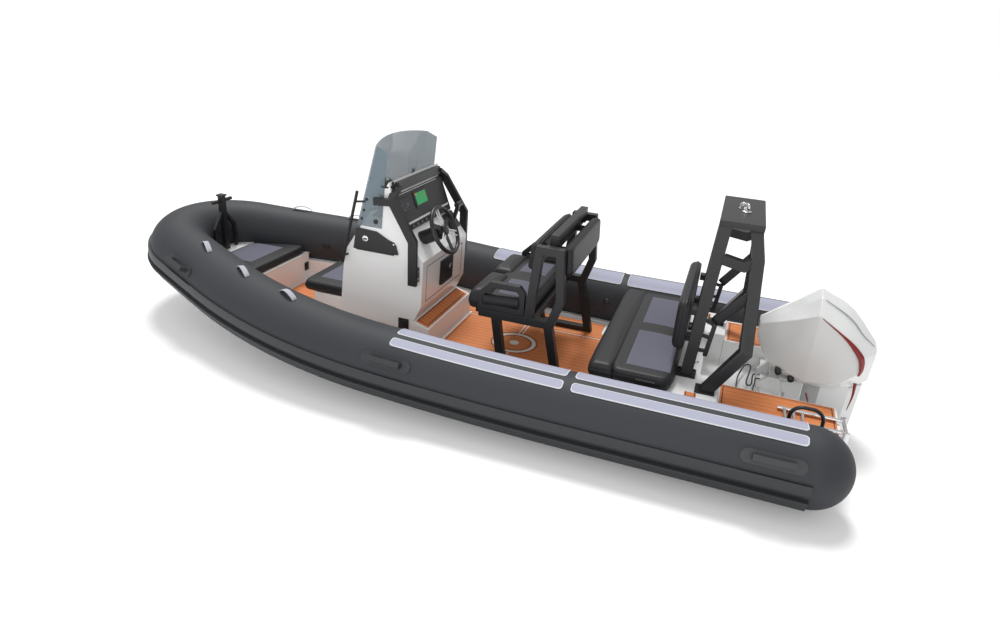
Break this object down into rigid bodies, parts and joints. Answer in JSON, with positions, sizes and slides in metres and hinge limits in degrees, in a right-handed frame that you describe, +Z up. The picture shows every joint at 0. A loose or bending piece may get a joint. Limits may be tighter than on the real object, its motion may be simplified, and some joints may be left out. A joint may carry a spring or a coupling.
{
  "type": "inflatable rib boat",
  "caption": "Rigid inflatable boat with a dark collar, a centre console with windscreen, a framed helm seat, an aft bench, a stern arch and a tilting outboard motor",
  "frame": {"origin": "on the waterline, on the centreline, at the aft face of the transom", "axes": "+X towards the bow, +Y to port, +Z up"},
  "size_m": [5.6528, 2.4228, 2.3671],
  "materials": {
    "tube": "matt charcoal coated fabric",
    "tread": "pale blue-grey moulded tread patches",
    "strake": "matt dark grey moulded rubber",
    "gelcoat": "white gelcoat on glass fibre",
    "black_metal": "satin black powder coat",
    "black_plastic": "black moulded plastic",
    "cushion": "near-black marine vinyl with blue-grey panels",
    "dash": "dark grey satin panel",
    "screen": "dark display glass",
    "smoke": "smoked clear sheet",
    "chrome": "polished stainless steel",
    "motor_white": "gloss white paint",
    "propeller": "brushed stainless steel",
    "cable": "black hose",
    "teak": "foam deck sheet with wood-coloured planks"
  },
  "bodies": {
    "boat": {"aft_backrest": "cushion", "aft_deck": "gelcoat", "arch_lamp": "chrome", "arch_port": "black_metal", "arch_starboard": "black_metal", "arch_top": "black_metal", "arm_frames": "black_metal", "arm_pads": "cushion", "backrest_brackets": "black_metal", "bench_backrest": "cushion", "bench_base": "gelcoat", "bench_cushion": "cushion", "bench_handles": "black_plastic", "bow_deck": "gelcoat", "bow_eye": "chrome", "bow_post": "black_metal", "clamp_bracket": "motor_white", "compass": "black_plastic", "console": "gelcoat", "dash_panel": "dash", "deck_pads": "teak", "floor": "gelcoat", "forward_cushion": "cushion", "forward_seat": "gelcoat", "grab_rods": "black_metal", "guard_rails": "black_metal", "helm_backrest": "cushion", "hull": "gelcoat", "ladder_lugs": "chrome", "motor_hose_1": "cable", "motor_hose_2": "cable", "rub_strakes": "strake", "screens": "screen", "seat_cushion": "cushion", "seat_frame": "black_metal", "steering_column": "black_plastic", "stern_eyes": "chrome", "stern_hoop": "black_metal", "throttle": "black_plastic", "tread_patches_port": "tread", "tread_patches_starboard": "tread", "tube_bow": "tube", "tube_handles_port": "black_plastic", "tube_handles_starboard": "black_plastic", "tube_port": "tube", "tube_port_bow": "tube", "tube_starboard": "tube", "tube_starboard_bow": "tube", "windscreen": "smoke"},
    "bow_lid_body": {"bow_lid": "gelcoat", "bow_cushion": "cushion"},
    "aft_hatch_body": {"aft_hatch": "black_plastic"},
    "side_hatch_body": {"side_hatch": "black_plastic"},
    "ladder_body": {"boarding_ladder": "chrome"},
    "steering_wheel_body": {"steering_wheel": "black_plastic"},
    "motor_swivel": {"swivel_bracket": "motor_white"},
    "motor": {"motor_cowl": "motor_white", "motor_leg": "motor_white", "gearcase": "motor_white"},
    "propeller_body": {"propeller": "propeller"}
  },
  "joints": [
    {"name": "bow_lid_hinge", "type": "hinge", "parent": "boat", "child": "bow_lid_body", "pos_m": [3.92596, 0, 0.367], "axis": [0, -1, 0], "range_deg": [0, 95]},
    {"name": "aft_hatch_hinge", "type": "hinge", "parent": "boat", "child": "aft_hatch_body", "pos_m": [2.41571, 0, 0.51764], "axis": [0, -1, 0], "range_deg": [0, 110]},
    {"name": "side_hatch_hinge", "type": "hinge", "parent": "boat", "child": "side_hatch_body", "pos_m": [2.79, 0.409, 0.812], "axis": [-1, 0, 0], "range_deg": [0, 110]},
    {"name": "ladder_hinge", "type": "hinge", "parent": "boat", "child": "ladder_body", "pos_m": [-0.39, 0.61, 0.353], "axis": [0, -1, 0], "range_deg": [0, 265]},
    {"name": "motor_tilt", "type": "hinge", "parent": "boat", "child": "motor_swivel", "pos_m": [-0.01, 0, 0.305], "axis": [0, 1, 0], "range_deg": [-4, 66]},
    {"name": "motor_steer", "type": "hinge", "parent": "motor_swivel", "child": "motor", "pos_m": [-0.16, 0, 0.1], "axis": [0, 0, 1], "range_deg": [-30, 30]},
    {"name": "wheel_turn", "type": "hinge", "parent": "boat", "child": "steering_wheel_body", "pos_m": [2.513, 0.204, 0.905], "axis": [0.891, 0, -0.454], "range_deg": [-540, 540]},
    {"name": "propeller_spin", "type": "hinge", "parent": "motor", "child": "propeller_body", "pos_m": [-0.56, 0, -0.59], "axis": [1, 0, 0], "continuous": true}
  ],
  "couplings": [
    {"joint": "wheel_turn", "follows": "motor_steer", "ratio": 18}
  ]
}
